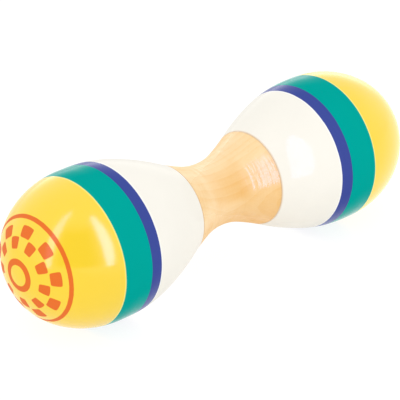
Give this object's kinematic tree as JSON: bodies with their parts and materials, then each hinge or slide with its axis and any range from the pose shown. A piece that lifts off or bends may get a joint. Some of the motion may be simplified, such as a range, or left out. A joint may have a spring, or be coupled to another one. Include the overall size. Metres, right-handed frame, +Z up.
{
  "type": "double maraca",
  "caption": "Dumb-bell shaped wooden shaker for a small child: a slim bare-wood grip between two hollow painted heads with domed ends, each holding loose rattle beads.",
  "frame": {"origin": "middle of the grip, on the axis that the whole maraca is turned about", "axes": "+X along the turned axis towards the right head, +Z up, away from the surface it lies on"},
  "size_m": [0.159, 0.0498, 0.0498],
  "materials": {
    "varnished_wood": "pale close-grained hardwood, turned, under clear satin varnish",
    "cream_lacquer": "hardwood under gloss cream lacquer, with a blue and a teal band next to the dome",
    "yellow_lacquer": "hardwood under gloss yellow lacquer, with a small orange print round the pole",
    "bead_wood": "tumbled hardwood beads, unpainted"
  },
  "bodies": {
    "shell": {"waist": "varnished_wood", "left_cup": "cream_lacquer", "right_cup": "cream_lacquer", "left_cap": "yellow_lacquer", "right_cap": "yellow_lacquer"},
    "left_bead_1": {"left_bead_1": "bead_wood"},
    "left_bead_2": {"left_bead_2": "bead_wood"},
    "left_bead_3": {"left_bead_3": "bead_wood"},
    "left_bead_4": {"left_bead_4": "bead_wood"},
    "left_bead_5": {"left_bead_5": "bead_wood"},
    "left_bead_6": {"left_bead_6": "bead_wood"},
    "left_bead_7": {"left_bead_7": "bead_wood"},
    "left_bead_8": {"left_bead_8": "bead_wood"},
    "right_bead_1": {"right_bead_1": "bead_wood"},
    "right_bead_2": {"right_bead_2": "bead_wood"},
    "right_bead_3": {"right_bead_3": "bead_wood"},
    "right_bead_4": {"right_bead_4": "bead_wood"},
    "right_bead_5": {"right_bead_5": "bead_wood"},
    "right_bead_6": {"right_bead_6": "bead_wood"},
    "right_bead_7": {"right_bead_7": "bead_wood"},
    "right_bead_8": {"right_bead_8": "bead_wood"}
  },
  "joints": [
    {"name": "left_bead_1_roll", "type": "slide", "parent": "shell", "child": "left_bead_1", "axis": [1, 0, 0], "range_m": [-0.0072, 0.0072]},
    {"name": "left_bead_2_roll", "type": "slide", "parent": "shell", "child": "left_bead_2", "axis": [1, 0, 0], "range_m": [-0.0072, 0.0072]},
    {"name": "left_bead_3_roll", "type": "slide", "parent": "shell", "child": "left_bead_3", "axis": [1, 0, 0], "range_m": [-0.0072, 0.0072]},
    {"name": "left_bead_4_roll", "type": "slide", "parent": "shell", "child": "left_bead_4", "axis": [1, 0, 0], "range_m": [-0.0072, 0.0072]},
    {"name": "left_bead_5_roll", "type": "slide", "parent": "shell", "child": "left_bead_5", "axis": [1, 0, 0], "range_m": [-0.0072, 0.0072]},
    {"name": "left_bead_6_roll", "type": "slide", "parent": "shell", "child": "left_bead_6", "axis": [1, 0, 0], "range_m": [-0.0072, 0.0072]},
    {"name": "left_bead_7_roll", "type": "slide", "parent": "shell", "child": "left_bead_7", "axis": [1, 0, 0], "range_m": [-0.0072, 0.0072]},
    {"name": "left_bead_8_roll", "type": "slide", "parent": "shell", "child": "left_bead_8", "axis": [1, 0, 0], "range_m": [-0.0072, 0.0072]},
    {"name": "right_bead_1_roll", "type": "slide", "parent": "shell", "child": "right_bead_1", "axis": [1, 0, 0], "range_m": [-0.0072, 0.0072]},
    {"name": "right_bead_2_roll", "type": "slide", "parent": "shell", "child": "right_bead_2", "axis": [1, 0, 0], "range_m": [-0.0072, 0.0072]},
    {"name": "right_bead_3_roll", "type": "slide", "parent": "shell", "child": "right_bead_3", "axis": [1, 0, 0], "range_m": [-0.0072, 0.0072]},
    {"name": "right_bead_4_roll", "type": "slide", "parent": "shell", "child": "right_bead_4", "axis": [1, 0, 0], "range_m": [-0.0072, 0.0072]},
    {"name": "right_bead_5_roll", "type": "slide", "parent": "shell", "child": "right_bead_5", "axis": [1, 0, 0], "range_m": [-0.0072, 0.0072]},
    {"name": "right_bead_6_roll", "type": "slide", "parent": "shell", "child": "right_bead_6", "axis": [1, 0, 0], "range_m": [-0.0072, 0.0072]},
    {"name": "right_bead_7_roll", "type": "slide", "parent": "shell", "child": "right_bead_7", "axis": [1, 0, 0], "range_m": [-0.0072, 0.0072]},
    {"name": "right_bead_8_roll", "type": "slide", "parent": "shell", "child": "right_bead_8", "axis": [1, 0, 0], "range_m": [-0.0072, 0.0072]}
  ],
  "couplings": [
    {"joint": "left_bead_2_roll", "follows": "left_bead_1_roll", "ratio": 1},
    {"joint": "left_bead_4_roll", "follows": "left_bead_3_roll", "ratio": 1},
    {"joint": "left_bead_6_roll", "follows": "left_bead_5_roll", "ratio": 1},
    {"joint": "left_bead_8_roll", "follows": "left_bead_7_roll", "ratio": 1},
    {"joint": "right_bead_2_roll", "follows": "right_bead_1_roll", "ratio": 1},
    {"joint": "right_bead_4_roll", "follows": "right_bead_3_roll", "ratio": 1},
    {"joint": "right_bead_6_roll", "follows": "right_bead_5_roll", "ratio": 1},
    {"joint": "right_bead_8_roll", "follows": "right_bead_7_roll", "ratio": 1}
  ]
}
